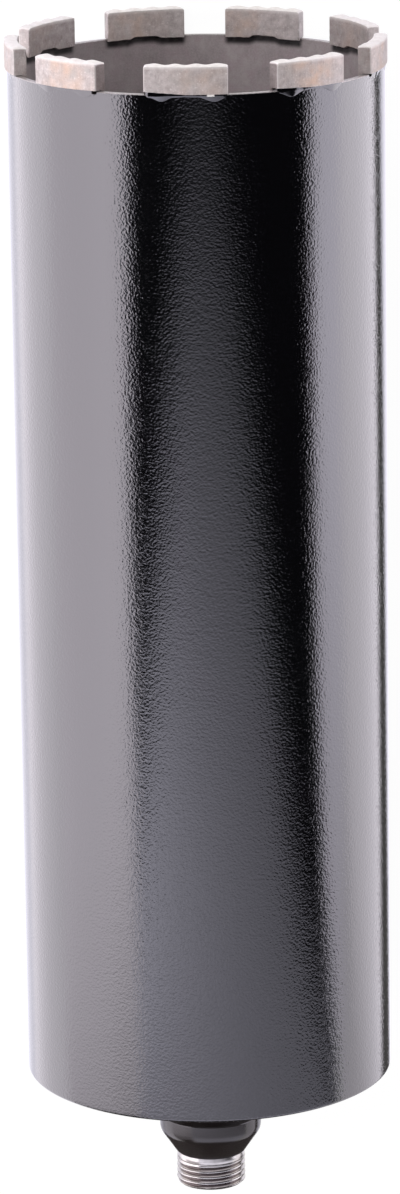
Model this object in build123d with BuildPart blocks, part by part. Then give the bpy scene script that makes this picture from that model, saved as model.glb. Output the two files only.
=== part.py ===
from build123d import *
import os
from math import asin, cos, degrees, radians, sin

# A diamond core bit: a thin steel barrel with diamond segments round its crown and a
# threaded hub at its rear end. All sizes are in millimetres.
#
# The bit lies on its side. Its axis runs along Y, with the crown toward +Y and the thread
# toward -Y. One segment is straight up and a slot between two segments is straight down,
# so the bit rests on the corners of those two segments and on the rear edge of its barrel.
# The origin is on the axis, where the cone of the hub meets the neck of the thread.

# Crown
bit_diameter = 112.0            # over the outer faces of the segments
segment_count = 9
segment_length = 24.0           # along the rim, corner to corner
segment_thickness = 4.0         # inner face to outer face
segment_height = 7.8            # flat faces, above the rim
crown_rise = 1.0                # middle of a segment's top, above its flat faces
wave_count = 4                  # humps along a segment's top
wave_depth = 0.42               # crest to valley
end_radius = 1.2                # top corners, seen from the side
corner_radius = 0.8             # upright corners
foot_drop = 1.0                 # feet inside the barrel, below the rim
foot_clearance = 0.1            # feet to the barrel's inner wall
arch_width = 6.0                # between the two feet
arch_slope = 1.6                # run of each shoulder of the arch

# Braze under each segment
braze_thickness = 0.4
braze_edge_gap = 0.12           # outer lip, in from the segment's outer face
braze_end_gap = 0.5             # ends, in from the segment's ends
lobe_end_gap = 0.7              # each lobe's outer end, in from the end of the braze
lobe_width = 7.8
lobe_drop = 2.2                 # below the rim, at a lobe
lobe_bulge = 0.4                # proud of the barrel, half way down a lobe
lip_drop = 0.8                  # below the rim, between the lobes
lip_end_drop = 0.4              # below the rim, at the ends

# Barrel
barrel_relief = 0.75            # outer wall, in from the outer faces of the segments
barrel_wall = 2.0
barrel_length = 308.0
rim_break = 0.2                 # chamfers on the rim
rear_radius = 0.8               # outer edge at the rear end

# End plate and its weld
plate_thickness = 8.0
plate_recess = 2.5              # rear face, in from the barrel's rear end
plate_clearance = 0.1           # plate to the barrel's inner wall
plate_weld_leg = 2.2
weld_bulge = 0.58               # a bead's middle, as a share of its leg (0.5 is flat)

# Hub, with a male G 1/2 thread drawn as a plain shank of its major diameter
hub_diameter = 31.0
hub_reach = 29.0                # cone's small end, out from the barrel's rear end
cone_length = 8.0
cone_end_diameter = 20.7
shoulder_radius = 1.6           # between the hub's round body and its cone
spigot_diameter = 24.0          # part of the hub inside the plate
spigot_clearance = 0.05
hub_weld_leg = 4.0
neck_diameter = 20.4
neck_length = 1.4
thread_diameter = 20.955
thread_length = 8.0
thread_chamfer = 0.8
water_bore = 11.0
bore_chamfer = 0.8

# Cutting shapes
crown_cover = 0.1               # crowned section, above the crests that cut it
cutter_reach = 1.0              # how far a cutting shape runs past what it cuts

# Places worked out from the sizes
segment_outer = bit_diameter / 2
segment_inner = segment_outer - segment_thickness
barrel_outer = segment_outer - barrel_relief
barrel_inner = barrel_outer - barrel_wall
barrel_rear = hub_reach
rim = barrel_rear + barrel_length
plate_rear = barrel_rear + plate_recess
plate_front = plate_rear + plate_thickness
thread_end = -neck_length - thread_length
pitch_angle = 360 / segment_count
sweep_angle = 2 * degrees(asin((segment_length / 2 + cutter_reach) / segment_inner))
crest = segment_height + crown_rise

os.makedirs("parts", exist_ok=True)


def save(piece, name):
    """Label a finished piece and write it to its own file."""
    piece.part.label = name
    export_step(piece.part, f"parts/{name}.step")


def outward(angle):
    """Direction away from the axis, turned from straight up toward +X."""
    return (sin(radians(angle)), 0, cos(radians(angle)))


def section_plane(angle):
    """Plane through the axis at the rim: x is the radius and y the height above the rim."""
    along_rim = (-cos(radians(angle)), 0, sin(radians(angle)))
    return Plane(origin=(0, rim, 0), x_dir=outward(angle), z_dir=along_rim)


def face_plane(angle):
    """Plane facing a segment: x runs along the rim and y is the height above the rim."""
    along_rim = (cos(radians(angle)), 0, -sin(radians(angle)))
    return Plane(origin=(0, rim, 0), x_dir=along_rim, z_dir=outward(angle))


# Barrel: a plain tube with a rounded rear edge and a lightly chamfered rim.
with BuildPart() as barrel_tube:
    with BuildSketch(Plane.XY):
        with Locations((barrel_inner, barrel_rear)):
            Rectangle(barrel_wall, barrel_length, align=(Align.MIN, Align.MIN))
    revolve(axis=Axis.Y)
    rim_edges = barrel_tube.edges().group_by(Axis.Y)[-1]
    chamfer(rim_edges.filter_by(GeomType.CIRCLE), rim_break)
    rear_edges = barrel_tube.edges().group_by(Axis.Y)[0]
    fillet(rear_edges.filter_by(GeomType.CIRCLE).sort_by(SortBy.RADIUS)[-1], rear_radius)
save(barrel_tube, "barrel_tube")

# End plate: a disc inside the barrel, bored for the hub's spigot.
with BuildPart() as end_plate:
    with BuildSketch(Plane.XY):
        with Locations((spigot_diameter / 2 + spigot_clearance, plate_rear)):
            plate_width = barrel_inner - plate_clearance - spigot_diameter / 2 - spigot_clearance
            Rectangle(plate_width, plate_thickness, align=(Align.MIN, Align.MIN))
    revolve(axis=Axis.Y)
save(end_plate, "end_plate")

# Hub: spigot, round body, cone, neck and thread, turned in one piece with a water bore.
with BuildPart() as threaded_hub:
    with BuildSketch(Plane.XY):
        with BuildLine():
            bore_radius = water_bore / 2
            thread_tip = thread_diameter / 2 - thread_chamfer
            Polyline(
                (bore_radius, plate_front),
                (spigot_diameter / 2, plate_front),
                (spigot_diameter / 2, plate_rear),
                (hub_diameter / 2, plate_rear),
                (hub_diameter / 2, cone_length),
                (cone_end_diameter / 2, 0),
                (neck_diameter / 2, 0),
                (neck_diameter / 2, -neck_length),
                (thread_diameter / 2, -neck_length),
                (thread_diameter / 2, thread_end + thread_chamfer),
                (thread_tip, thread_end),
                (bore_radius + bore_chamfer, thread_end),
                (bore_radius, thread_end + bore_chamfer),
                close=True,
            )
        make_face()
    revolve(axis=Axis.Y)
    shoulder_edges = threaded_hub.edges().filter_by(GeomType.CIRCLE)
    shoulder_edges = shoulder_edges.filter_by_position(Axis.Y, cone_length - 0.01, cone_length + 0.01)
    fillet(shoulder_edges, shoulder_radius)
save(threaded_hub, "threaded_hub")


def weld_ring(wall_radius, leg, side):
    """Weld bead between the plate's rear face and a wall; side is +1 outside it, -1 inside."""
    with BuildPart() as ring:
        with BuildSketch(Plane.XY):
            with BuildLine():
                on_plate = (wall_radius + side * leg, plate_rear)
                on_wall = (wall_radius, plate_rear - leg)
                middle = (wall_radius + side * weld_bulge * leg, plate_rear - weld_bulge * leg)
                ThreePointArc(on_plate, middle, on_wall)
                Polyline(on_wall, (wall_radius, plate_rear), on_plate)
            make_face()
        revolve(axis=Axis.Y)
    return ring


save(weld_ring(barrel_inner, plate_weld_leg, -1), "plate_weld")
save(weld_ring(hub_diameter / 2, hub_weld_leg, 1), "hub_weld")


def wave_points():
    """Start, peak and end of each half wave along a segment's top, from left to right."""
    half_wave = segment_length / wave_count / 2
    middle = crest - wave_depth / 2
    left = -segment_length / 2 + half_wave / 2
    halves = []
    for half in range(2 * wave_count - 1):
        start = left + half * half_wave
        bend = wave_depth / 2 if half % 2 == 0 else -wave_depth / 2
        peak = (start + half_wave / 2, middle + bend)
        halves.append(((start, middle), peak, (start + half_wave, middle)))
    return halves


# Segments: each is a curved block with parallel ends, a humped and crowned top, and two
# feet that reach down inside the barrel with an arch between them.
def diamond_segment(angle):
    half_length = segment_length / 2
    foot_outer = barrel_inner - foot_clearance
    with BuildPart() as segment:
        with BuildSketch(section_plane(angle - sweep_angle / 2)):
            with BuildLine():
                Polyline(
                    (segment_inner, segment_height),
                    (segment_inner, -foot_drop),
                    (foot_outer, -foot_drop),
                    (foot_outer, braze_thickness),
                    (segment_outer, braze_thickness),
                    (segment_outer, segment_height),
                )
                ThreePointArc(
                    (segment_outer, segment_height),
                    (segment_outer - segment_thickness / 2, crest + crown_cover),
                    (segment_inner, segment_height),
                )
            make_face()
        revolve(axis=Axis.Y, revolution_arc=sweep_angle)
        with BuildSketch(face_plane(angle)):
            Rectangle(segment_length, 2 * (crest + foot_drop + cutter_reach))
        extrude(amount=segment_outer + cutter_reach, mode=Mode.INTERSECT)
        corners = segment.edges().filter_by(Axis.Y).filter_by(lambda edge: edge.length > segment_height / 2)
        fillet(corners, corner_radius)
        with BuildSketch(face_plane(angle)) as side_view:
            with BuildLine():
                halves = wave_points()
                left, right = halves[0][0], halves[-1][-1]
                arch_foot = arch_width / 2 + arch_slope
                below = -foot_drop - cutter_reach
                for start, peak, finish in halves:
                    ThreePointArc(start, peak, finish)
                Polyline(
                    right,
                    (half_length, right[1]),
                    (half_length, below),
                    (arch_foot, below),
                    (arch_foot, -foot_drop),
                    (arch_width / 2, braze_thickness),
                    (-arch_width / 2, braze_thickness),
                    (-arch_foot, -foot_drop),
                    (-arch_foot, below),
                    (-half_length, below),
                    (-half_length, left[1]),
                    left,
                )
            make_face()
            top_corners = side_view.vertices().filter_by_position(Axis.Y, left[1] - 0.01, left[1] + 0.01)
            top_corners = top_corners.sort_by(Axis.X)
            fillet([top_corners[0], top_corners[-1]], end_radius)
        extrude(amount=segment_outer + cutter_reach, mode=Mode.INTERSECT)
    return segment


# Braze: a thin layer between the rim and a segment, with two lobes squeezed out below the
# segment on the outside of the barrel.
def braze_seam(angle):
    half_length = segment_length / 2 - braze_end_gap
    lip_outer = segment_outer - braze_edge_gap
    with BuildPart() as seam:
        with BuildSketch(section_plane(angle - sweep_angle / 2)):
            with BuildLine():
                Polyline(
                    (lip_outer, braze_thickness),
                    (barrel_inner, braze_thickness),
                    (barrel_inner, 0),
                    (barrel_outer, 0),
                    (barrel_outer, -lobe_drop - cutter_reach),
                )
                ThreePointArc(
                    (barrel_outer, -lobe_drop - cutter_reach),
                    (barrel_outer + lobe_bulge, -lobe_drop / 2),
                    (lip_outer, braze_thickness),
                )
            make_face()
        revolve(axis=Axis.Y, revolution_arc=sweep_angle)
        with BuildSketch(face_plane(angle)):
            with BuildLine():
                outer_end = half_length - lobe_end_gap
                inner_end = outer_end - lobe_width
                for side in (-1, 1):
                    ThreePointArc(
                        (side * inner_end, -lip_drop),
                        (side * (outer_end - lobe_width / 2), -lobe_drop),
                        (side * outer_end, -lip_end_drop),
                    )
                Line((-inner_end, -lip_drop), (inner_end, -lip_drop))
                Polyline(
                    (-outer_end, -lip_end_drop),
                    (-half_length, -lip_end_drop),
                    (-half_length, braze_thickness + cutter_reach),
                    (half_length, braze_thickness + cutter_reach),
                    (half_length, -lip_end_drop),
                    (outer_end, -lip_end_drop),
                )
            make_face()
        extrude(amount=segment_outer + cutter_reach, mode=Mode.INTERSECT)
    return seam


for index in range(segment_count):
    save(diamond_segment(index * pitch_angle), f"diamond_segment_{index + 1}")
    save(braze_seam(index * pitch_angle), f"braze_seam_{index + 1}")
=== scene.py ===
import bmesh
import bpy
import numpy as np
from math import radians, pi
from mathutils import Matrix, Vector


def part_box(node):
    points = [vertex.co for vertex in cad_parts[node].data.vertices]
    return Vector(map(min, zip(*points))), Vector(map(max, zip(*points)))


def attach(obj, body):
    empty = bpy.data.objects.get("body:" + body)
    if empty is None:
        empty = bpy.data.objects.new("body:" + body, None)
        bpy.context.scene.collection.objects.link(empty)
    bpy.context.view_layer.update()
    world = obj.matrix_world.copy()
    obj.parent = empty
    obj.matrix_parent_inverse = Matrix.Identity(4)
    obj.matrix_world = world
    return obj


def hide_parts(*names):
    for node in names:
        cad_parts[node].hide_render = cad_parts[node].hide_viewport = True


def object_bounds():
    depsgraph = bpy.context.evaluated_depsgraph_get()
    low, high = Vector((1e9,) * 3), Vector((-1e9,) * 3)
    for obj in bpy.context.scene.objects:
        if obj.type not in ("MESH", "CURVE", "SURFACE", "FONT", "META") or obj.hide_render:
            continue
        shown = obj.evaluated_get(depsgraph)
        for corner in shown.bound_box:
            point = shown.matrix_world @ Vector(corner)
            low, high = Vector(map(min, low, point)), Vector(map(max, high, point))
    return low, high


# Looks of a diamond core bit lying on a pale floor: the crown points to +Y and the thread to -Y.
# Sizes in the dictionaries are in millimetres, and every mesh is made in metres.
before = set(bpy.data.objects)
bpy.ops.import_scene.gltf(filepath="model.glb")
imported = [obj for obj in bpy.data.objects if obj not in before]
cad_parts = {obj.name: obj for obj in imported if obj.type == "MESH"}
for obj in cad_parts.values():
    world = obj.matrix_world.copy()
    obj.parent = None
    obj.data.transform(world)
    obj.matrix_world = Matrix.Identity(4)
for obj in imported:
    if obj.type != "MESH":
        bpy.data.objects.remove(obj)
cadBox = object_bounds()
mm = 0.001
print("frame loaded")


def alongAxis(node):
    # where a CAD piece starts and ends along the bit's axis
    low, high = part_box(node)
    return low[1] / mm, high[1] / mm


rearY, rimY = alongAxis("barrel_tube")          # rear edge of the barrel, and top face of its wall
plateRear, plateFront = alongAxis("end_plate")
threadEnd = alongAxis("threaded_hub")[0]
segmentNodes = sorted(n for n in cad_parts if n.startswith("diamond_segment_"))
seamNodes = sorted(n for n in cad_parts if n.startswith("braze_seam_"))
floorZ = float(cadBox[0][2]) / mm               # the lowest point of the lying bit


def smoothStep(x, low, high):
    # 3t^2 - 2t^3, with t running from 0 at low to 1 at high
    t = np.clip((x - low) / (high - low), 0, 1)
    return t * t * (3 - 2 * t)


def waves(x, y, seed, size, count=7):
    # a sum of sine waves of about the given size, in random directions and phases: a smooth noise in -1..1
    rng = np.random.default_rng(seed)
    total = np.zeros(np.broadcast(x, y).shape)
    for _ in range(count):
        angle, phase, stretch = rng.uniform(0, 2 * pi), rng.uniform(0, 2 * pi), rng.uniform(0.7, 1.6)
        total += np.sin(2 * pi * (x * np.cos(angle) + y * np.sin(angle)) / (size * stretch) + phase)
    return total / count ** 0.5 / 1.6


def gridMesh(name, points, ring, sharp=32, bands=None, **attributes):
    # points[i, j] is one grid corner, and each face joins four neighbours. Columns wrap round, and in a ring
    # rows do too. Edges that turn by more than sharp degrees stay sharp
    rows, cols = points.shape[:2]
    i, j = np.meshgrid(np.arange(rows - 1 + int(ring)), np.arange(cols), indexing="ij")
    i, j = i.ravel(), j.ravel()
    nextI, nextJ = (i + 1) % rows, (j + 1) % cols
    faces = np.stack([i * cols + j, nextI * cols + j, nextI * cols + nextJ, i * cols + nextJ], axis=1)
    mesh = bpy.data.meshes.new(name)
    mesh.from_pydata((points.reshape(-1, 3) * mm).tolist(), [], faces.tolist())
    if bands is not None:       # one material number for each column
        mesh.polygons.foreach_set("material_index", np.asarray(bands, dtype=np.int32)[j])
    for key, values in attributes.items():
        layer = mesh.attributes.new(key, "FLOAT", "POINT")
        layer.data.foreach_set("value", np.broadcast_to(values, (rows, cols)).astype(np.float32).ravel())
    closeMesh(mesh)
    mesh.shade_smooth()
    mesh.set_sharp_from_angle(angle=radians(sharp))
    piece = bpy.data.objects.new(name, mesh)
    bpy.context.scene.collection.objects.link(piece)
    return piece


def closeMesh(mesh):
    # merges the points of a pole or a seam, then turns every face outward
    work = bmesh.new()
    work.from_mesh(mesh)
    bmesh.ops.remove_doubles(work, verts=work.verts, dist=1e-7)
    bmesh.ops.dissolve_degenerate(work, edges=work.edges, dist=1e-8)
    bmesh.ops.recalc_face_normals(work, faces=work.faces)
    work.to_mesh(mesh)
    work.free()


def turned(radius, y, angle):
    # a point at this radius from the bit's axis, turned from straight up toward +X
    return np.stack(np.broadcast_arrays(radius * np.sin(angle), y, radius * np.cos(angle)), axis=-1)


def lathe(name, profile, steps, **options):
    # a closed (radius, y) outline carried once round the bit's axis
    angle = np.linspace(0, 2 * pi, steps, endpoint=False)[:, None]
    profile = np.asarray(profile)
    return gridMesh(name, turned(profile[None, :, 0], profile[None, :, 1], angle), True, **options)


def line(start, end, steps):
    # points from start up to, but not with, end
    t = np.linspace(0, 1, steps, endpoint=False)[:, None]
    return np.asarray(start) * (1 - t) + np.asarray(end) * t


def roundCorner(before, corner, after, radius, steps=8):
    # a quadratic curve across a corner, starting and ending one radius away from it
    before, corner, after = (np.asarray(p, dtype=float) for p in (before, corner, after))
    a = corner + (before - corner) / np.linalg.norm(before - corner) * radius
    b = corner + (after - corner) / np.linalg.norm(after - corner) * radius
    t = np.linspace(0, 1, steps)[:, None]
    return (1 - t) ** 2 * a + 2 * t * (1 - t) * corner + t ** 2 * b


def outline(corners):
    # a closed outline through corners (radius, y, rounding): each corner is rounded, or kept sharp with 0
    points = []
    count = len(corners)
    for k in range(count):
        before, corner, after = corners[k - 1], corners[k], corners[(k + 1) % count]
        if corner[2] > 0:
            points.append(roundCorner(before[:2], corner[:2], after[:2], corner[2]))
        else:
            points.append(np.array([corner[:2]], dtype=float))
    return np.concatenate(points)


def finish(piece, nodes, slot, *materials):
    # a finished piece rides on the bit, stands for its CAD nodes and gets its materials
    for material in materials:
        piece.data.materials.append(material)
    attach(piece, "root")
    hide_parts(*nodes)
    return piece


class NodeTree:
    # a short hand for the node tree of a material or of the world
    def __init__(self, owner):
        owner.use_nodes = True
        self.owner = owner
        self.tree = owner.node_tree

    def add(self, kind, **settings):
        node = self.tree.nodes.new(kind)
        for key, value in settings.items():
            setattr(node, key, value)
        return node

    def feed(self, socket, value):
        # links a socket to another node's output, or sets it to a colour or a number
        if isinstance(value, bpy.types.NodeSocket):
            self.tree.links.new(value, socket)
        elif isinstance(value, tuple):
            socket.default_value = (*value, 1)
        else:
            socket.default_value = value

    def maths(self, operation, *values):
        node = self.add("ShaderNodeMath", operation=operation)
        for k, value in enumerate(values):
            self.feed(node.inputs[k], value)
        return node.outputs[0]

    def plus(self, first, second):
        return self.maths("ADD", first, second)

    def minus(self, first, second):
        return self.maths("SUBTRACT", first, second)

    def times(self, *values):
        total = values[0]
        for value in values[1:]:
            total = self.maths("MULTIPLY", total, value)
        return total

    def ramp(self, source, start, end, low=0.0, high=1.0, smooth=False):
        # low at start, high at end, and level beyond
        node = self.add("ShaderNodeMapRange", interpolation_type="SMOOTHSTEP" if smooth else "LINEAR")
        self.feed(node.inputs["Value"], source)
        self.feed(node.inputs["From Min"], start)
        self.feed(node.inputs["From Max"], end)
        self.feed(node.inputs["To Min"], low)
        self.feed(node.inputs["To Max"], high)
        return node.outputs["Result"]

    def mix(self, factor, first, second, blend="MIX"):
        # first where the factor is 0, second where it is 1
        node = self.add("ShaderNodeMix", data_type="RGBA", blend_type=blend)
        self.feed(node.inputs[0], factor)
        self.feed(node.inputs[6], first)
        self.feed(node.inputs[7], second)
        return node.outputs[2]

    def attribute(self, name):
        return self.add("ShaderNodeAttribute", attribute_name=name).outputs["Fac"]

    def axes(self):
        # the place on the piece, as x, y and z in millimetres
        split = self.add("ShaderNodeSeparateXYZ")
        self.feed(split.inputs[0], self.add("ShaderNodeTexCoord").outputs["Object"])
        return [self.maths("DIVIDE", split.outputs[k], mm) for k in range(3)]


class Finish(NodeTree):
    # one finish of the bit
    def __init__(self, name):
        super().__init__(bpy.data.materials.new(name))
        self.shader = self.tree.nodes["Principled BSDF"]
        self.place = self.add("ShaderNodeTexCoord").outputs["Object"]

    def noise(self, size, detail=2.0, rough=0.5, stretch=(1, 1, 1), warp=0.0):
        # noise whose blobs are about size millimetres across, drawn out by stretch
        mapping = self.add("ShaderNodeMapping")
        mapping.inputs["Scale"].default_value = [1 / (size * mm * s) for s in stretch]
        self.feed(mapping.inputs["Vector"], self.place)
        node = self.add("ShaderNodeTexNoise")
        self.feed(node.inputs["Vector"], mapping.outputs["Vector"])
        self.feed(node.inputs["Scale"], 1.0)
        self.feed(node.inputs["Detail"], detail)
        self.feed(node.inputs["Roughness"], rough)
        self.feed(node.inputs["Distortion"], warp)
        return node.outputs["Fac"]

    def bump(self, height, depth, normal=None):
        # height 0..1 stands for depth millimetres
        node = self.add("ShaderNodeBump")
        self.feed(node.inputs["Strength"], 1.0)
        self.feed(node.inputs["Distance"], depth * mm)
        self.feed(node.inputs["Height"], height)
        if normal is not None:
            self.feed(node.inputs["Normal"], normal)
        return node.outputs["Normal"]

    def set(self, **values):
        names = dict(colour="Base Color", metal="Metallic", rough="Roughness", normal="Normal", ior="IOR",
                     specular="Specular IOR Level", coat="Coat Weight", coatRough="Coat Roughness",
                     coatNormal="Coat Normal")
        for key, value in values.items():
            self.feed(self.shader.inputs[names[key]], value)


# pit is the colour of a painted shadow under a segment's overhanging corner
paintLook = dict(colour=(0.0009, 0.0008, 0.0013), dust=(0.006, 0.006, 0.008), ior=2.0, coatRough=0.035,
                 ripple=0.72, calm=0.85, calmLength=200, sag=7.0, sagDepth=0.03,
                 bare=(0.95, 0.92, 0.90), pit=(0.004, 0.003, 0.003),
                 onBarrel=(0.082, 0.08), onWeld=(0.03, 0.12), onBraze=(0.025, 0.10))


def makePaint(name, rippleAndRough, hasBare=False):
    # gloss black paint: fine round ripples on a much longer, shallower sag; the ripples calm down toward the
    # rear. Where it has bare places, pale braze shows at bare = 1, and at pit = 1 a painted shadow, black and
    # matt
    look = paintLook
    rippleDepth, rough = rippleAndRough
    n = Finish(name)
    calm = n.ramp(n.axes()[1], rearY, rearY + look["calmLength"], look["calm"], 1.0)
    ripple = n.times(n.noise(look["ripple"], detail=1.5, rough=0.5), calm)
    sag = n.noise(look["sag"], detail=1.0)
    normal = n.bump(ripple, rippleDepth, n.bump(sag, look["sagDepth"]))
    dust = n.ramp(n.noise(0.5, detail=3), 0.62, 0.75)
    colour = n.mix(dust, look["colour"], look["dust"])
    gloss = n.ramp(n.noise(18, detail=3), 0.3, 0.7, rough * 0.8, rough * 1.25)
    n.set(rough=gloss, ior=look["ior"], coat=1.0, coatRough=look["coatRough"], normal=normal,
          coatNormal=normal)
    if hasBare:
        spot, pit = n.attribute("bare"), n.attribute("pit")
        colour = n.mix(spot, colour, look["bare"])
        # painted shadow at the pit
        colour = n.mix(pit, colour, look["pit"])
        uncoated = n.maths("MAXIMUM", spot, pit)
        n.set(coat=n.minus(1.0, uncoated), rough=n.maths("MAXIMUM", gloss, n.times(uncoated, 0.8)),
              specular=n.ramp(pit, 0.0, 1.0, 0.5, 0.0))
    n.set(colour=colour)
    return n.owner


hubLook = dict(colour=(0.0225, 0.0175, 0.0172), cloud=(0.022, 0.018, 0.0165), rough=0.16, ior=1.7,
               ringDepth=0.004, dentDepth=0.02)


def makeHubPaint():
    # thinner, duller paint over turned steel: faint rings show through it
    look = hubLook
    n = Finish("hubPaint")
    rings = n.noise(0.25, detail=2, stretch=(50, 1, 50))
    cloud = n.noise(5.0, detail=3)
    n.set(colour=n.mix(n.ramp(cloud, 0.35, 0.7), look["colour"], look["cloud"]),
          rough=n.ramp(rings, 0.3, 0.7, look["rough"] * 0.8, look["rough"] * 1.3), ior=look["ior"],
          normal=n.bump(rings, look["ringDepth"], n.bump(n.noise(2.2, detail=1), look["dentDepth"])))
    return n.owner


# shadeColour is the colour of the painted shade at the left and of the painted shadow under the feet
boreLook = dict(dark=(0.25, 0.215, 0.222), pale=(0.42, 0.375, 0.38), purple=(0.325, 0.26, 0.28),
                speck=(0.46, 0.41, 0.41), radius=53.25, shadeColour=(0.012, 0.01, 0.01), shadowFade=(1.15, 2.9),
                shadowEnds=(11.4, 13.4), archEnds=(3.0, 5.2), archTop=0.1, footDepth=0.62,
                leftShade=0.24, shadeFrom=-40, shadeTo=12)


def makeBoreFinish():
    # dull grey-brown scale inside the barrel, with painted shade at its left and a painted shadow under
    # each segment's foot
    look = boreLook
    n = Finish("boreFinish")
    cloud = n.noise(7, detail=4, rough=0.6, stretch=(1, 1.6, 1))
    patch = n.noise(3.2, detail=3, warp=0.4)
    grain = n.noise(0.5, detail=4, rough=0.6)
    base = n.mix(n.ramp(cloud, 0.3, 0.7), look["dark"], look["pale"])
    base = n.mix(n.ramp(patch, 0.46, 0.66, 0.0, 0.75), base, look["purple"])
    base = n.mix(n.ramp(grain, 0.4, 0.75, 0.0, 0.5), base, look["speck"])
    x, y, z = n.axes()
    # painted shade: the wall darkens toward its left
    shade = n.ramp(x, look["shadeFrom"], look["shadeTo"], look["leftShade"], 0.0, True)
    base = n.mix(shade, base, look["shadeColour"])
    # painted shadow under the segments' feet
    n.set(colour=n.mix(footShadow(n, x, y, z, look), base, look["shadeColour"]), metal=0.1, rough=0.6,
          normal=n.bump(grain, 0.03))
    return n.owner


def footShadow(n, x, y, z, look):
    # painted shadow: 1 at the lower edge of a segment's foot, fading over a few millimetres below it; the
    # edge steps up at the arch between the feet. along is the way round the wall from the middle of the
    # nearest segment
    count = len(segmentNodes)
    share = n.times(n.maths("ARCTAN2", x, z), count / (2 * pi))
    along = n.maths("ABSOLUTE", n.minus(share, n.maths("ROUND", share)))
    along = n.times(along, 2 * pi * look["radius"] / count)
    foot = n.ramp(along, *look["archEnds"], rimY + look["archTop"], rimY - look["footDepth"])
    fade = n.ramp(n.minus(foot, y), *look["shadowFade"], 1.0, 0.0, True)
    ends = n.ramp(along, *look["shadowEnds"], 1.0, 0.0, True)
    ragged = n.ramp(n.noise(2.4, detail=3), 0.3, 0.6, 0.88, 1.0)
    return n.times(fade, ends, ragged)


steelLook = dict(rimDark=(0.30, 0.275, 0.27), rimPale=(0.58, 0.55, 0.54), turnedDark=(0.565, 0.54, 0.505),
                 turnedPale=(0.735, 0.71, 0.67), root=(0.20, 0.17, 0.165))


def makeRimSteel():
    # bare cut edge of the barrel's wall
    n = Finish("rimSteel")
    grain = n.noise(0.35, detail=3)
    colour = n.mix(n.ramp(grain, 0.3, 0.7), steelLook["rimDark"], steelLook["rimPale"])
    n.set(colour=colour, metal=0.8, rough=0.4, normal=n.bump(grain, 0.02))
    return n.owner


def makeTurnedSteel():
    # bright turned steel: fine rings round the axis, with a faint warm cast, darker in the roots of the
    # thread
    n = Finish("turnedSteel")
    rings = n.noise(0.12, detail=3, stretch=(60, 1, 60))
    blotch = n.noise(2.5, detail=3)
    base = n.mix(n.ramp(blotch, 0.3, 0.7), steelLook["turnedDark"], steelLook["turnedPale"])
    base = n.mix(n.attribute("root"), base, steelLook["root"])
    n.set(colour=base, metal=1.0, rough=n.ramp(rings, 0.3, 0.7, 0.16, 0.26), normal=n.bump(rings, 0.004))
    return n.owner


# dull darkens the shaded faces, and edge is the pale colour of the crown's wear and painted highlight
sinterLook = dict(grey=(0.36, 0.312, 0.307), pale=(0.575, 0.52, 0.515), streak=(0.60, 0.56, 0.55),
                  cool=(0.43, 0.415, 0.405), warm=(0.66, 0.45, 0.335), pore=(0.20, 0.18, 0.18),
                  speck=(0.85, 0.82, 0.81), dull=(0.52, 0.485, 0.49), edge=(0.79, 0.75, 0.74),
                  metal=0.25, grainDepth=0.035, streakDepth=0.015)


def makeSinter():
    # sintered metal with diamond grit: cloudy greys, faint upright grinding streaks, pores and bright specks,
    # a heat tint where the warmth attribute is high, a duller finish with painted shade where dull is,
    # and a pale colour on the crown and the edges, partly wear and partly painted highlight
    look = sinterLook
    n = Finish("sinteredMetal")
    cloud = n.noise(2.2, detail=5, rough=0.62)
    streak = n.noise(0.42, detail=3, stretch=(1, 10, 1))
    warm = n.noise(5.0, detail=3)
    cool = n.noise(4.0, detail=3, warp=0.3)
    grain = n.noise(0.42, detail=4, rough=0.65)
    grit = n.noise(0.55, detail=2, rough=0.5)
    wear = n.attribute("wear")
    base = n.mix(n.ramp(cloud, 0.32, 0.68), look["grey"], look["pale"])
    base = n.mix(n.ramp(streak, 0.45, 0.8, 0.0, 0.4), base, look["streak"])
    base = n.mix(n.ramp(cool, 0.54, 0.70, 0.0, 0.5), base, look["cool"])
    base = n.mix(n.times(n.ramp(warm, 0.28, 0.6), n.attribute("warmth")), base, look["warm"])
    base = n.mix(n.ramp(grain, 0.52, 0.70, 0.0, 0.32), base, look["pore"])
    base = n.mix(n.ramp(grit, 0.64, 0.72, 0.0, 0.36), base, look["speck"])
    # painted shade: the end and inner faces are darkened where dull is
    darker = n.mix(1.0, base, look["dull"], "MULTIPLY")
    base = n.mix(n.attribute("dull"), base, darker)
    # painted highlight, partly wear: a pale colour on the crown and the upright edges
    base = n.mix(wear, base, look["edge"])
    n.set(colour=base, metal=look["metal"], rough=n.ramp(wear, 0.0, 1.0, 0.48, 0.38),
          normal=n.bump(grain, look["grainDepth"], n.bump(streak, look["streakDepth"])))
    return n.owner


paint = makePaint("glossPaint", paintLook["onBarrel"])
weldPaint = makePaint("weldPaint", paintLook["onWeld"])
brazePaint = makePaint("brazePaint", paintLook["onBraze"], True)
hubPaint = makeHubPaint()
boreFinish = makeBoreFinish()
rimSteel = makeRimSteel()
turnedSteel = makeTurnedSteel()
sinter = makeSinter()
print("materials made")


barrel = dict(outer=55.25, inner=53.25, rimBreak=0.2, rearRound=0.8, steps=512)


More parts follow.
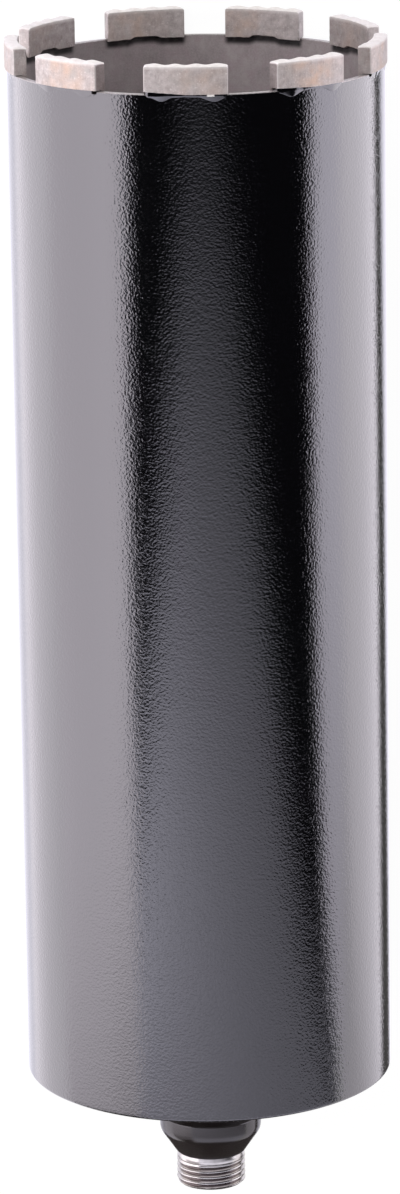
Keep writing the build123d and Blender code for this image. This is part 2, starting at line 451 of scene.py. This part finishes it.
def makeBarrel(b):
    # a closed wall outline carried round the axis: paint outside, bare steel on the rim, dull scale inside
    outer, inner, cut = b["outer"], b["inner"], b["rimBreak"]
    rear = roundCorner((outer - 1, rearY), (outer, rearY), (outer, rearY + 1), b["rearRound"], 10)
    outside = np.concatenate([rear, line((outer, rearY + 2), (outer, rimY - cut), 24)])
    rim = np.array([(outer, rimY - cut), (outer - cut, rimY), (inner + cut, rimY), (inner, rimY - cut)])
    inside = line((inner, rimY - 3), (inner, rearY + 8), 24)
    back = np.array([(inner, plateRear), (inner, rearY)])
    profile = np.concatenate([outside, rim, inside, back])
    bands = np.zeros(len(profile), dtype=int)
    first = len(outside)
    bands[first:first + 3] = 1
    bands[first + 3:first + 4 + len(inside)] = 2
    return lathe("barrelShell", profile, b["steps"], bands=bands, sharp=25)


finish(makeBarrel(barrel), ["barrel_tube"], "black_paint", paint, rimSteel, boreFinish)
print("barrel made")


plate = dict(outer=53.15, hole=12.05, edge=0.5, steps=256)
hub = dict(spigot=12.0, body=15.5, waistFrom=12.75, waist=1.4, shoulder=1.6, cone=8.0, coneEnd=10.75,
           paintEnd=1.05, bore=5.5, steps=224)
thread = dict(major=10.4775, pitch=1.814, depth=1.0, neck=1.25, neckRadius=10.3, runIn=1.0, tip=0.8,
              boreBreak=0.8, start=0.62, crest=0.75, turns=256, rows=230)
plateWeld = dict(leg=2.2, side=-1, ripples=150, seed=5, steps=900)
hubWeld = dict(leg=4.0, side=1, ripples=44, seed=6, steps=440)


def makePlate(p):
    # a disc with broken edges round its rim and a plain hole
    corners = [(p["outer"], plateRear, p["edge"]), (p["outer"], plateFront, p["edge"]),
               (p["hole"], plateFront, 0), (p["hole"], plateRear, 0)]
    return lathe("rearPlate", outline(corners), p["steps"])


def makeHubBody(h):
    # the turned outline of spigot, body with a relief behind its collar, shoulder and cone, and the water
    # bore through it
    waist = h["body"] - h["waist"]
    corners = [(h["bore"], h["paintEnd"], 0), (h["bore"], plateFront, 0.4), (h["spigot"], plateFront, 0.3),
               (h["spigot"], plateRear, 0), (h["body"], plateRear, 0), (h["body"], plateRear - 4, 0),
               (waist, plateRear - 6, 1.0), (waist, h["waistFrom"] + h["waist"], 0.4),
               (h["body"], h["waistFrom"], 0.3), (h["body"], h["cone"], h["shoulder"]),
               (h["coneEnd"], h["paintEnd"], 0.1)]
    return lathe("hubBody", outline(corners), h["steps"])


def makeThread(t, bore):
    # outer face: radius = major radius less depth times half of (1 - cosine of the place within one pitch),
    # squeezed so that the crests are broad and the roots narrow; the place is y / pitch less the turn, which
    # is a right-hand helix
    y = np.linspace(t["start"], threadEnd, t["rows"])[None, :]
    angle = np.linspace(0, 2 * pi, t["turns"], endpoint=False)[:, None]
    place = y / t["pitch"] - angle / (2 * pi)
    groove = (0.5 - 0.5 * np.cos(2 * pi * place)) ** (1 / t["crest"])
    cutIn = smoothStep(-y, t["neck"] - 0.2, t["neck"] + t["runIn"])
    radius = t["major"] - t["depth"] * groove * cutIn
    # the neck swells a little from the cone and draws in again toward the first groove
    neck = t["neckRadius"] - 0.12 * (y - 0.1) - 0.2 * np.clip(-0.1 - y, 0, t["neck"]) ** 2
    neck = neck + (t["major"] + 0.5 - t["neckRadius"]) * smoothStep(-y, t["neck"] - 0.1, t["neck"] + 0.2)
    tip = t["major"] - t["tip"] + (y - threadEnd) * 1.1
    radius = np.minimum(np.minimum(radius, neck), tip)
    outer = turned(radius, np.broadcast_to(y, radius.shape), angle)
    root = smoothStep(groove * cutIn, 0.45, 0.95)
    # end face and bore
    cut = t["boreBreak"]
    face = outline([(bore + cut, threadEnd, 0), (bore, threadEnd + cut, 0), (bore, t["start"], 0)])
    rest = turned(face[None, :, 0], face[None, :, 1], angle)
    root = np.concatenate([np.broadcast_to(root, radius.shape), np.zeros(rest.shape[:2])], axis=1)
    return gridMesh("spindleThread", np.concatenate([outer, rest], axis=1), True, sharp=50, root=root)


def makeWeld(name, wall, w):
    # a quarter-round bead in the corner of the plate and a wall; its height swells at each ripple of the weld
    # pool. side is 1 where the wall faces outward and -1 where it faces inward
    angle = np.linspace(0, 2 * pi, w["steps"], endpoint=False)[:, None]
    turn = np.linspace(0, pi / 2, 12)[None, :]
    ripple = np.abs(np.sin(angle * w["ripples"] / 2 + 0.9 * np.cos(2 * turn))) ** 0.7
    size = w["leg"] * (0.86 + 0.07 * ripple + 0.05 * waves(angle * wall, 0 * turn, w["seed"], 14))
    bulge = 1 + 0.10 * np.sin(2 * turn)
    radius = wall + w["side"] * size * bulge * np.cos(turn)
    y = plateRear - size * bulge * np.sin(turn)
    bead = turned(radius, y, angle)
    corner = turned(np.full_like(angle, wall), np.full_like(angle, plateRear), angle)
    return gridMesh(name, np.concatenate([bead, corner], axis=1), True, sharp=50)


finish(makePlate(plate), ["end_plate"], "black_paint", paint)
finish(makeHubBody(hub), ["threaded_hub"], "black_paint", hubPaint)
finish(makeThread(thread, hub["bore"]), ["threaded_hub"], "bare_steel", turnedSteel)
finish(makeWeld("plateBead", barrel["inner"], plateWeld), ["plate_weld"], "black_paint", weldPaint)
finish(makeWeld("hubBead", hub["body"], hubWeld), ["hub_weld"], "black_paint", weldPaint)
print("plate, hub and welds made")


# endDullShades and innerShades set the painted shade on each segment's end faces and inner face
segment = dict(outer=55.99, thick=4.0, length=24.0, side=8.05, rise=0.75, waveDepth=0.45, waves=4, corner=0.4,
               endRound=0.75, foot=0.62, footOuter=53.15, bottom=0.14, wedge=0.7, arch=6.0, slope=2.2,
               dent=0.03, fineDent=0.015, warmWidth=7.5, stations=120, seed=20,
               tilts=(1.0, 0.85, -0.3, 0.5, -0.5, 0.6, -0.4, 0.3, -0.1),
               heats=(0.35, 0.85, 0.5, 0.35, 0.45, 0.45, 0.25, 0.4, 0.8),
               heatAt=(4.0, 0.0, -3.0, 0.0, 6.0, 4.0, 5.0, 2.0, 1.0),
               endDullShades=(0.75, 0.8, 0.3, 0.0, 0.0, 0.0, 0.0, 0.3, 0.9),
               innerShades=(0.0, 0.0, 0.0, 0.34, 0.0, 0.0, 0.4, 0.0, 0.0))


def onRim(angle, x, r, h):
    # a point x along the rim from a segment's middle, at radius r from the axis and h above the rim
    depth = np.sqrt(np.clip(r ** 2 - x ** 2, 0, None))
    along = np.array([np.cos(angle), 0, -np.sin(angle)])
    outward = np.array([np.sin(angle), 0, np.cos(angle)])
    return x[..., None] * along + depth[..., None] * outward + (rimY + h)[..., None] * np.array([0, 1.0, 0])


def quarterRound(fromEnd, radius):
    # how far a quarter circle of this radius falls away, at this distance from the end
    return radius - np.sqrt(radius ** 2 - np.clip(radius - fromEnd, 0, None) ** 2)


def segmentStations(s):
    # places along a segment: dense over the rounded corners, even between them, and repeated at both ends,
    # where shrink runs from 0 to 1 so that the outline closes as a flat cap
    half = s["length"] / 2
    cap = np.array([0, 0.35, 0.7, 0.93, 0.985])
    corner = -half + s["corner"] * (1 - np.cos(np.linspace(0, pi / 2, 8)))[:-1]
    between = np.linspace(corner[-1] + 0.1, -corner[-1] - 0.1, s["stations"])
    x = np.concatenate([np.full(len(cap), -half), corner, between, -corner[::-1], np.full(len(cap), half)])
    shrink = np.concatenate([cap, np.ones(len(x) - 2 * len(cap)), cap[::-1]])
    return x[:, None], shrink[:, None]


def segmentSection(s, x, tilt, seed):
    # a closed (radius, height) outline at each station: crown, inner face, foot and seam, outer face
    half = s["length"] / 2
    fromEnd = half - np.abs(x)
    side = quarterRound(fromEnd, s["corner"])
    top = s["side"] - quarterRound(fromEnd, s["endRound"])
    low, high = s["outer"] - s["thick"] + side, s["outer"] - side
    # crown: height = side + rise less the wave at x, times 1 - |across|^3, across running -1..1
    wave = s["waveDepth"] * (0.5 + 0.5 * np.cos(2 * pi * s["waves"] * x / s["length"]))
    crest = s["rise"] - wave - 0.06 * (1 + waves(x, 0, seed + 7, 5.0))
    crest = crest * (0.7 + 0.3 * smoothStep(fromEnd, 0.0, 0.9))
    across = np.sin(np.linspace(pi / 2, -pi / 2, 21))[None, :]
    crownR = (low + high) / 2 + (high - low) / 2 * across
    crownH = top + crest * (1 - np.abs(across) ** 3)
    # outside, the lower edge leaves a wedge of braze in sight at one end; inside, the arch lifts the foot's
    # middle
    lift = 1 - smoothStep(np.abs(x), s["arch"] / 2, s["arch"] / 2 + s["slope"])
    footH = -s["foot"] + (s["foot"] + 0.12) * lift + 0.14 * np.abs(waves(x, 0, seed + 2, 5.0))
    raised = np.clip(-tilt * x / half, 0, None) ** 0.8
    seamH = s["bottom"] + s["wedge"] * raised + 0.05 * np.abs(waves(x, 0, seed, 2.2))
    t = np.linspace(0, 1, 9)[None, 1:-1]
    innerR = low + 0 * t
    innerH = top * (1 - t) + (footH + 0.15) * t
    footOuter = np.minimum(np.full_like(x, s["footOuter"]), high - 0.2)
    bottomR = [low, low + 0.15, footOuter - 0.1, footOuter, footOuter + 0.25, high - 0.08, high]
    bottomH = [footH + 0.15, footH, footH, np.maximum(footH, seamH - 0.1), seamH, seamH, seamH + 0.08]
    outerR = high + 0 * t
    outerH = seamH + 0.08 + (top - seamH - 0.08) * t
    r = np.concatenate([crownR, innerR, *bottomR, outerR], axis=1)
    h = np.concatenate([crownH, innerH, *bottomH, outerH], axis=1)
    return r, h


def makeSegment(index, angle, s):
    # a curved block: its outline at each station along the rim, with fine dents, and a flat cap at each end
    seed = s["seed"] + index
    x, shrink = segmentStations(s)
    r, h = segmentSection(s, x, s["tilts"][index], seed)
    middle = s["outer"] - s["thick"] / 2
    # the dents go inward only, so that no face leaves the block
    dent = s["dent"] * (1 + waves(x, h, seed + 3, 1.7)) + s["fineDent"] * (1 + waves(x, h + r, seed + 4, 0.7))
    r = r + dent * (middle - r) / (s["thick"] / 2)
    centreH = (s["side"] + s["bottom"]) / 2
    r = middle + (r - middle) * shrink
    h = centreH + (h - centreH) * shrink
    # wear, partly wear and partly painted highlight, is 1 on the crown and less on the upright
    # edges, and falls to 0 on the faces
    fromEnd = s["length"] / 2 - np.abs(x)
    drop = quarterRound(fromEnd, s["endRound"])
    top = smoothStep(h + drop, s["side"] - 0.06, s["side"] + 0.02) * (1 - smoothStep(drop, 0.2, 0.6))
    edge = (1 - smoothStep(fromEnd, 0.05, 0.35)) * (shrink > 0.99) * smoothStep(r - middle, 1.2, 1.8)
    wear = np.clip(np.maximum(top, 0.5 * edge), 0, 1) * (0.9 + 0.1 * waves(x, h + r, seed + 5, 1.6))
    # dull, painted shade on a duller finish, has one share on both end faces, another on the inner
    # face, and is 0 on the rest
    inner = s["outer"] - s["thick"]
    onEnd = 1 - smoothStep(fromEnd, 0.0, 0.3)
    onInner = 1 - smoothStep(r, inner + 0.3, inner + 1.2)
    dull = np.maximum(s["endDullShades"][index] * onEnd, s["innerShades"][index] * onInner) * (1 - top)
    # warmth is a bell round one place on the segment, made uneven by waves
    warmth = s["heats"][index] * np.exp(-((x - s["heatAt"][index]) / s["warmWidth"]) ** 2) + 0 * r
    warmth = warmth * np.clip(0.75 + 0.5 * waves(x, h, seed + 6, 6.0), 0, 1)
    return gridMesh(f"segment{index + 1}", onRim(angle, x, r, h), False, sharp=38, wear=wear, dull=dull,
                    warmth=warmth)


seam = dict(half=11.75, inner=53.3, wall=55.25, top=0.42, lobeAt=(-6.9, 7.4), lobeHalf=(3.9, 4.1), lobe=1.45,
            lip=0.45, strip=0.12, stripWedge=0.32, slope=0.2, ridge=0.42, edge=0.05, fade=1.2, stations=150,
            seed=60, bare={0: (5.9, 8.3)}, pits={8: 1, 2: -1})


def seamDrop(s, x, tilt, pit, seed):
    # how far the braze runs below the rim: a strip, a lip and two lobes, each a raised cosine of x. Also
    # gives its upper edge, the strip's own height, the fade toward both ends and the notch at the pit
    fade = smoothStep(s["half"] - np.abs(x), -0.2, s["fade"])
    rng = np.random.default_rng(seed)
    lobes = 0
    for centre, half in zip(s["lobeAt"], s["lobeHalf"]):
        centre = centre + rng.uniform(-0.5, 0.5)
        near = np.clip(np.abs(x - centre) / (half * rng.uniform(0.9, 1.1)), 0, 1)
        lobes = lobes + rng.uniform(0.75, 1.0) * (0.5 + 0.5 * np.cos(pi * near))
    raised = np.clip(-tilt * x / s["half"], 0, None) ** 0.8
    lowered = np.clip(tilt * x / s["half"], 0, None)
    strip = s["strip"] + s["stripWedge"] * (raised + 0.7 * lowered)
    notch = smoothStep(pit * x, s["half"] - 1.8, s["half"] - 1.1)
    run = (s["lip"] + s["lobe"] * lobes + 0.08 * waves(x, 0, seed + 9, 5.0)) * fade + 0.06
    drop = strip * np.maximum(fade, notch) + run + 0.5 * notch
    top = s["top"] + segment["wedge"] * raised
    return drop, top, strip, fade, notch


def makeSeam(index, angle, s):
    # the braze that ran out under a segment. Down the barrel it is level over the strip, then thins as a
    # straight slope to a feather edge
    seed, tilt = s["seed"] + index, segment["tilts"][index]
    x = np.linspace(-s["half"], s["half"], s["stations"])[:, None]
    drop, top, strip, fade, notch = seamDrop(s, x, tilt, s["pits"].get(index, 0), seed)
    t = np.linspace(0, 1, 26)[None, :]
    frontH = top - (top + drop) * t
    thin = np.clip((-frontH - strip) / (drop - strip + 0.01), 0, 1)
    ridge = np.minimum(s["slope"] * (drop - strip), s["ridge"]) * fade
    frontR = s["wall"] - 0.04 + s["edge"] * (1 - thin ** 8) + ridge * (1 - thin)
    backH = -drop * (1 - np.linspace(0.2, 1, 4)[None, :])
    backR = s["wall"] - 0.1 + 0 * backH
    innerR = np.concatenate([s["inner"] + 0 * x, s["inner"] + 0 * x], axis=1)
    innerH = np.concatenate([0.02 + 0 * x, s["top"] + 0 * x], axis=1)
    r = np.concatenate([frontR, backR, innerR], axis=1)
    h = np.concatenate([frontH, backH, innerH], axis=1)
    # a spot where the paint is missing just under the segment, and a painted shadow in the pit at the notched
    # end
    spot = np.zeros_like(r)
    if index in s["bare"]:
        start, end = s["bare"][index]
        spot = smoothStep(x, start, start + 0.3) * (1 - smoothStep(x, end - 0.3, end)) * (h > -0.45)
    pitShadow = notch * (h > -0.75)
    # both ends close on a point in the middle of the layer
    cap = np.zeros((1, r.shape[1]))
    r = np.concatenate([cap + (s["inner"] + s["wall"]) / 2, r, cap + (s["inner"] + s["wall"]) / 2])
    h = np.concatenate([cap + s["top"] / 2, h, cap + s["top"] / 2])
    spot = np.concatenate([cap, spot, cap])
    pitShadow = np.concatenate([cap, pitShadow, cap])
    x = np.concatenate([x[:1], x, x[-1:]])
    return gridMesh(f"brazeFillet{index + 1}", onRim(angle, x, r, h), False, sharp=60, bare=spot, pit=pitShadow)


for index, (segmentNode, seamNode) in enumerate(zip(segmentNodes, seamNodes)):
    turn = radians(index * 360 / len(segmentNodes))
    finish(makeSegment(index, turn, segment), [segmentNode], "segment_matrix", sinter)
    finish(makeSeam(index, turn, seam), [seamNode], "painted_braze", brazePaint)
print("segments and braze made")


studio = dict(floorHalf=4000, floorColour=(0.82, 0.82, 0.82), floorGlow=1.06, floorShare=0.88, ambient=0.45,
              dark=0.012)


def stagePiece(name, points, faces, material):
    # something of the studio that is no part of the bit
    mesh = bpy.data.meshes.new(name)
    mesh.from_pydata((np.asarray(points, dtype=float) * mm).tolist(), [], faces)
    mesh.materials.append(material)
    piece = bpy.data.objects.new(name, mesh)
    bpy.context.scene.collection.objects.link(piece)
    return piece


def onlyInGloss(piece):
    # a card that shows in polished faces and nowhere else
    piece.visible_camera = False
    piece.visible_diffuse = False
    piece.visible_shadow = False
    piece.visible_transmission = False
    piece.visible_volume_scatter = False


def seenRays(n):
    # two signals: the first is 1 for rays from the camera, the second for those and for rays from gloss or
    # through glass
    path = n.add("ShaderNodeLightPath")
    camera = path.outputs["Is Camera Ray"]
    seen = n.maths("MAXIMUM", camera, path.outputs["Is Glossy Ray"])
    return camera, n.maths("MAXIMUM", seen, path.outputs["Is Transmission Ray"])


def makeFloor(s):
    # pale floor: part matt, which keeps the bit's shadow, and part white for the rays that see it
    n = NodeTree(bpy.data.materials.new("paleFloor"))
    n.tree.nodes.clear()
    matt = n.add("ShaderNodeBsdfDiffuse")
    glow = n.add("ShaderNodeEmission")
    both = n.add("ShaderNodeMixShader")
    out = n.add("ShaderNodeOutputMaterial")
    n.feed(matt.inputs["Color"], s["floorColour"])
    n.feed(glow.inputs["Strength"], s["floorGlow"])
    n.feed(both.inputs[0], n.times(seenRays(n)[1], s["floorShare"]))
    n.feed(both.inputs[1], matt.outputs[0])
    n.feed(both.inputs[2], glow.outputs[0])
    n.feed(out.inputs["Surface"], both.outputs[0])
    half = s["floorHalf"]
    corners = [(-half, -half, floorZ), (half, -half, floorZ), (half, half, floorZ), (-half, half, floorZ)]
    stagePiece("floor", corners, [(0, 1, 2, 3)], n.owner)


def makeWorld(s):
    # pale grey to the camera past the floor's edge, a plain even light on matt faces, and dark between the
    # cards in polished ones; every level is that of the background's own light grey
    world = bpy.data.worlds.new("studio")
    bpy.context.scene.world = world
    n = NodeTree(world)
    n.tree.nodes.clear()
    camera, seen = seenRays(n)
    light = n.add("ShaderNodeBackground")
    out = n.add("ShaderNodeOutputWorld")
    level = n.ramp(seen, 0.0, 1.0, s["ambient"], s["dark"])
    n.feed(light.inputs["Strength"], n.ramp(camera, 0.0, 1.0, level, 1.0))
    n.feed(out.inputs["Surface"], light.outputs[0])


class Glow(NodeTree):
    # a card's material: plain light whose strength is worked out from the place on the card, in millimetres
    def __init__(self, name, colour):
        super().__init__(bpy.data.materials.new(name))
        self.tree.nodes.clear()
        self.x, self.y, self.z = self.axes()
        self.light = self.add("ShaderNodeEmission")
        self.out = self.add("ShaderNodeOutputMaterial")
        self.feed(self.light.inputs["Color"], colour)
        self.feed(self.out.inputs["Surface"], self.light.outputs[0])

    def softEdge(self, share):
        # the card is solid where share is 1 and clear where it is 0
        clear = self.add("ShaderNodeBsdfTransparent")
        both = self.add("ShaderNodeMixShader")
        self.feed(both.inputs[0], share)
        self.feed(both.inputs[1], clear.outputs[0])
        self.feed(both.inputs[2], self.light.outputs[0])
        self.feed(self.out.inputs["Surface"], both.outputs[0])

    def strength(self, value):
        self.feed(self.light.inputs["Strength"], value)
        return self.owner


# where four values stand together they are a ramp: from, to, brightness at from and brightness at to
cards = dict(out=620, front=1400, back=-620, fall=(-420, -60, 0.25, 1.0),
             leftTop=860, leftTint=(1.0, 0.935, 1.03), leftRise=(0, 420, 1.86, 2.2),
             rightTop=184, rightMore=60, rightEnd=-162, rightBend=100, rightCurve=2.8,
             rightSoft=(0.78, 1.14), rightTint=(1.0, 0.953, 1.09), rightRise=(-180, 130, 1.2, 1.93))
strips = dict(start=-310, near=104, far=3800, front=1400, lift=1, tint=(1.015, 0.965, 1.05),
              nearDim=(104, 330, 0.86, 1.0),
              leftRise=(-40, 330, 1.66, 2.03), leftFall=(-90, 50, 1.0, 1.0),
              rightRise=(-40, 330, 1.56, 2.24), rightFall=(-90, 50, 0.74, 1.0),
              footFrom=30, footFront=500, footLevel=1.02, footTint=(0.99, 0.965, 1.09),
              flagInside=(67, 86), flagOutside=(100, 109), flagFront=700, flagLift=1.5,
              flagTint=(1, 0.95, 0.95), flagLevel=0.09)
hubCard = dict(near=(55, -28), far=(2600, -3900), tint=(1, 0.9, 0.88), level=0.06, lift=2)


def makeLeftCard(c):
    # a tall standing card, brighter upward and dimmer toward the thread's end
    glow = Glow("leftLight", c["leftTint"])
    upward = glow.ramp(glow.z, *c["leftRise"])
    material = glow.strength(glow.times(upward, glow.ramp(glow.y, *c["fall"], True)))
    corners = [(-c["out"], c["back"], floorZ), (-c["out"], c["front"], floorZ),
               (-c["out"], c["front"], c["leftTop"]), (-c["out"], c["back"], c["leftTop"])]
    onlyInGloss(stagePiece("leftCard", corners, [(0, 1, 2, 3)], material))


def makeRightCard(c):
    # a low standing card with a soft upper edge; its far end is rounded: height = the square root of
    # 1 - u^rightCurve, u running from 0 at the bend to 1 at the end
    glow = Glow("rightLight", c["rightTint"])
    u = np.linspace(1, 0, 40)
    y = c["rightBend"] + (c["rightEnd"] - c["rightBend"]) * u
    tall = (c["rightTop"] - floorZ) * np.sqrt(np.clip(1 - u ** c["rightCurve"], 0, None))
    y = np.append(y, c["front"])
    tall = np.append(tall, c["rightTop"] - floorZ + c["rightMore"])
    share = np.array([0, c["rightSoft"][1]])[None, :]
    corners = np.stack(np.broadcast_arrays(c["out"], y[:, None], floorZ + tall[:, None] * share), axis=-1)
    faces = [(2 * k, 2 * k + 2, 2 * k + 3, 2 * k + 1) for k in range(len(y) - 1)]
    material = glow.strength(glow.ramp(glow.y, *c["rightRise"]))
    piece = stagePiece("rightCard", corners.reshape(-1, 3), faces, material)
    layer = piece.data.attributes.new("share", "FLOAT", "POINT")
    layer.data.foreach_set("value", np.broadcast_to(share, (len(y), 2)).astype(np.float32).ravel())
    glow.softEdge(glow.ramp(glow.attribute("share"), *c["rightSoft"], 1.0, 0.0, True))
    onlyInGloss(piece)


def alongFlag(ends, y):
    # a straight line through its x at the barrel's rear and its x at the crown, at this y
    return ends[0] + (ends[1] - ends[0]) * (y - rearY) / (rimY - rearY)


def floorCard(name, side, inner, outer, front, lift, material):
    # a flat card just over the floor, between two straight lines; side is -1 at the left and 1 at the right
    start = strips["start"]
    places = [(inner, start), (outer, start), (outer, front), (inner, front)]
    corners = [(side * alongFlag(ends, y), y, floorZ + lift) for ends, y in places]
    onlyInGloss(stagePiece(name, corners, [(0, 1, 2, 3)], material))


def makeStrips(s):
    # on the floor: a strip at each side that brightens toward the crown, a dimmer foot inside it, and a
    # slanting black flag between the two at the right
    level = s["near"], s["near"]
    far = s["far"], s["far"]
    foot = s["footFrom"], s["footFrom"]
    for name, side, inner, rise, fall in (
            ("leftStrip", -1, level, s["leftRise"], s["leftFall"]),
            ("rightStrip", 1, s["flagOutside"], s["rightRise"], s["rightFall"])):
        glow = Glow(name + "Light", s["tint"])
        across = glow.ramp(glow.maths("ABSOLUTE", glow.x), *s["nearDim"])
        along = glow.ramp(glow.y, *rise)
        material = glow.strength(glow.times(along, glow.ramp(glow.y, *fall, True), across))
        floorCard(name, side, inner, far, s["front"], s["lift"], material)
    for name, side, outer in (("leftFoot", -1, level), ("rightFoot", 1, s["flagInside"])):
        material = Glow(name + "Light", s["footTint"]).strength(s["footLevel"])
        floorCard(name, side, foot, outer, s["footFront"], s["lift"], material)
    material = Glow("blackCard", s["flagTint"]).strength(s["flagLevel"])
    floorCard("blackStrip", 1, s["flagInside"], s["flagOutside"], s["flagFront"], s["flagLift"], material)


def makeHubCard(c):
    # a dim card over the floor behind the thread, which keeps the hub dark
    near, far, z = c["near"], c["far"], floorZ + c["lift"]
    corners = [(-near[0], near[1], z), (near[0], near[1], z), (far[0], far[1], z), (-far[0], far[1], z)]
    material = Glow("dimCard", c["tint"]).strength(c["level"])
    onlyInGloss(stagePiece("hubCard", corners, [(0, 1, 2, 3)], material))


arch = dict(radius=800, left=-50, right=90, steps=65, front=700, back=-1500, bendY=123, bendFront=-60,
            leftAt=-8.8, leftGrow=0.10, leftMore=0.00015,
            rightAt=21.6, rightGrow=0.13, rightLate=0.00066, lateFrom=200,
            soft=9, softLess=0.013, softLeast=3.5, lean=72, leanLate=1.5, leanFrom=300, dark=0.008,
            edgeFrom=-36.4, edgeTo=-44.2, edgeLevel=2.2, tint=(0.97, 0.95, 1.12),
            levels=((400, 0.0), (215, 0.03), (165, 0.13), (123, 0.26), (37, 0.48), (-51, 0.70), (-141, 0.92),
                    (-224, 0.86), (-300, 0.60), (-450, 1.15), (-900, 1.2), (-1300, 0.1)))


def archLevel(glow, levels):
    # the brightness along the arch: straight between the listed (y, level) pairs
    table = glow.add("ShaderNodeValToRGB")
    elements = table.color_ramp.elements
    first, last = levels[0][0], levels[-1][0]
    peak = max(level for _, level in levels)
    while len(elements) < len(levels):
        elements.new(0.5)
    for element, (y, level) in zip(elements, levels):
        element.position = (y - first) / (last - first)
        element.color = (level / peak, level / peak, level / peak, 1)
    glow.feed(table.inputs[0], glow.ramp(glow.y, first, last))
    return glow.times(table.outputs["Color"], peak)


def archGlow(glow, a):
    # a lit band between two edges that part toward the thread's end and grow crisper; it is a little
    # brighter on the left, as exp(-angle / lean), and at its left end it takes up the left card's light
    angle = glow.times(glow.maths("ARCTAN2", glow.x, glow.z), 180 / pi)
    past = glow.maths("MAXIMUM", glow.minus(a["bendY"], glow.y), a["bendFront"])
    late = glow.maths("MAXIMUM", glow.minus(past, a["lateFrom"]), 0)
    grown = glow.plus(glow.times(past, a["leftMore"]), a["leftGrow"])
    leftEdge = glow.minus(a["leftAt"], glow.times(past, grown))
    rightEdge = glow.plus(a["rightAt"], glow.times(past, a["rightGrow"]))
    rightEdge = glow.plus(rightEdge, glow.times(late, late, a["rightLate"]))
    soft = glow.maths("MAXIMUM", glow.minus(a["soft"], glow.times(past, a["softLess"])), a["softLeast"])
    left = glow.ramp(angle, glow.minus(leftEdge, soft), glow.plus(leftEdge, soft), 0.0, 1.0, True)
    right = glow.ramp(angle, glow.minus(rightEdge, soft), glow.plus(rightEdge, soft), 1.0, 0.0, True)
    lean = glow.times(glow.maths("MAXIMUM", glow.minus(past, a["leanFrom"]), 0), a["leanLate"])
    lean = glow.maths("DIVIDE", glow.times(angle, -1), glow.plus(lean, a["lean"]))
    lean = glow.maths("POWER", float(np.e), lean)
    total = glow.plus(glow.times(archLevel(glow, a["levels"]), left, right, lean), a["dark"])
    side = glow.ramp(angle, a["edgeFrom"], a["edgeTo"], 0.0, 1.0, True)
    fall = glow.ramp(glow.y, *cards["fall"], True)
    total = glow.plus(glow.times(side, fall, a["edgeLevel"]), glow.times(glow.minus(1, side), total))
    glow.feed(glow.light.inputs["Color"], glow.mix(side, a["tint"], cards["leftTint"]))
    return glow.strength(total)


def makeArch(a):
    # a curved card over the bit, round its axis: a stretch of a cylinder
    material = archGlow(Glow("archLight", a["tint"]), a)
    angles = np.radians(np.linspace(a["left"], a["right"], a["steps"]))[:, None]
    y = np.array([a["front"], a["back"]])[None, :]
    faces = [(2 * k, 2 * k + 1, 2 * k + 3, 2 * k + 2) for k in range(a["steps"] - 1)]
    onlyInGloss(stagePiece("archCard", turned(a["radius"], y, angles).reshape(-1, 3), faces, material))


# a tall box at the left, a lower one at the right and one beyond the crown
lamps = dict(
    leftBox=dict(centre=(-620, 120, 380), target=(0, 200, 0), width=1500, height=800, level=1.86,
                 colour=(1.0, 0.975, 0.965)),
    rightBox=dict(centre=(620, 120, 160), target=(0, 200, 0), width=1500, height=400, level=1.46,
                  colour=(1.0, 0.97, 0.98)),
    crownBox=dict(centre=(0, 1250, 500), target=(0, rimY, 0), width=900, height=600, level=3.8,
                  colour=(1.0, 0.98, 0.975)))


def softBox(name, centre, target, width, height, level, colour):
    # a flat soft lamp for the matt faces, of the given brightness, facing its target
    lamp = bpy.data.lights.new(name, "AREA")
    lamp.shape = "RECTANGLE"
    lamp.size = width * mm
    lamp.size_y = height * mm
    lamp.energy = level * pi * lamp.size * lamp.size_y
    lamp.color = colour
    piece = bpy.data.objects.new(name, lamp)
    toward = Vector(centre) - Vector(target)
    piece.rotation_euler = toward.to_track_quat("Z", "Y").to_euler()
    piece.location = Vector(centre) * mm
    piece.visible_camera = False
    piece.visible_glossy = False
    bpy.context.scene.collection.objects.link(piece)


lens = dict(turn=3.15, distance=1634.5, along=576.5, tilt=0.2571, roll=-0.0141, yaw=-0.0006, focal=5643.1,
            frameHeight=1194, sensor=36, clipEnd=50)


def makeCamera(c):
    # the camera looks down on the lying bit: out from the axis by distance, turned by turn degrees toward +X,
    # and along the axis past the crown; tilt, roll and yaw are in radians
    turn = radians(c["turn"])
    yaw, tilt, roll = c["yaw"], c["tilt"], c["roll"]
    axis = Vector((0, 1, 0))
    out = Vector((np.sin(turn), 0, np.cos(turn)))
    across = Vector((np.cos(turn), 0, -np.sin(turn)))
    forward = across * (np.sin(yaw) * np.cos(tilt)) - out * (np.cos(yaw) * np.cos(tilt)) - axis * np.sin(tilt)
    level = across * np.cos(yaw) + out * np.sin(yaw)
    upright = level.cross(forward)
    right = level * np.cos(roll) + upright * np.sin(roll)
    up = upright * np.cos(roll) - level * np.sin(roll)
    data = bpy.data.cameras.new("camera")
    data.sensor_width = c["sensor"]
    data.lens = c["focal"] / c["frameHeight"] * data.sensor_width
    data.clip_end = c["clipEnd"]
    camera = bpy.data.objects.new("camera", data)
    place = (out * c["distance"] + axis * (c["along"] + float(rearY))) * mm
    camera.matrix_world = Matrix.Translation(place) @ Matrix((right, up, -forward)).transposed().to_4x4()
    bpy.context.scene.collection.objects.link(camera)
    bpy.context.scene.camera = camera


makeCamera(lens)
makeFloor(studio)
makeWorld(studio)
makeLeftCard(cards)
makeRightCard(cards)
makeStrips(strips)
makeHubCard(hubCard)
makeArch(arch)
for name, lamp in lamps.items():
    softBox(name, **lamp)
bpy.context.scene.view_settings.view_transform = "Standard"
print("floor, light and camera set")
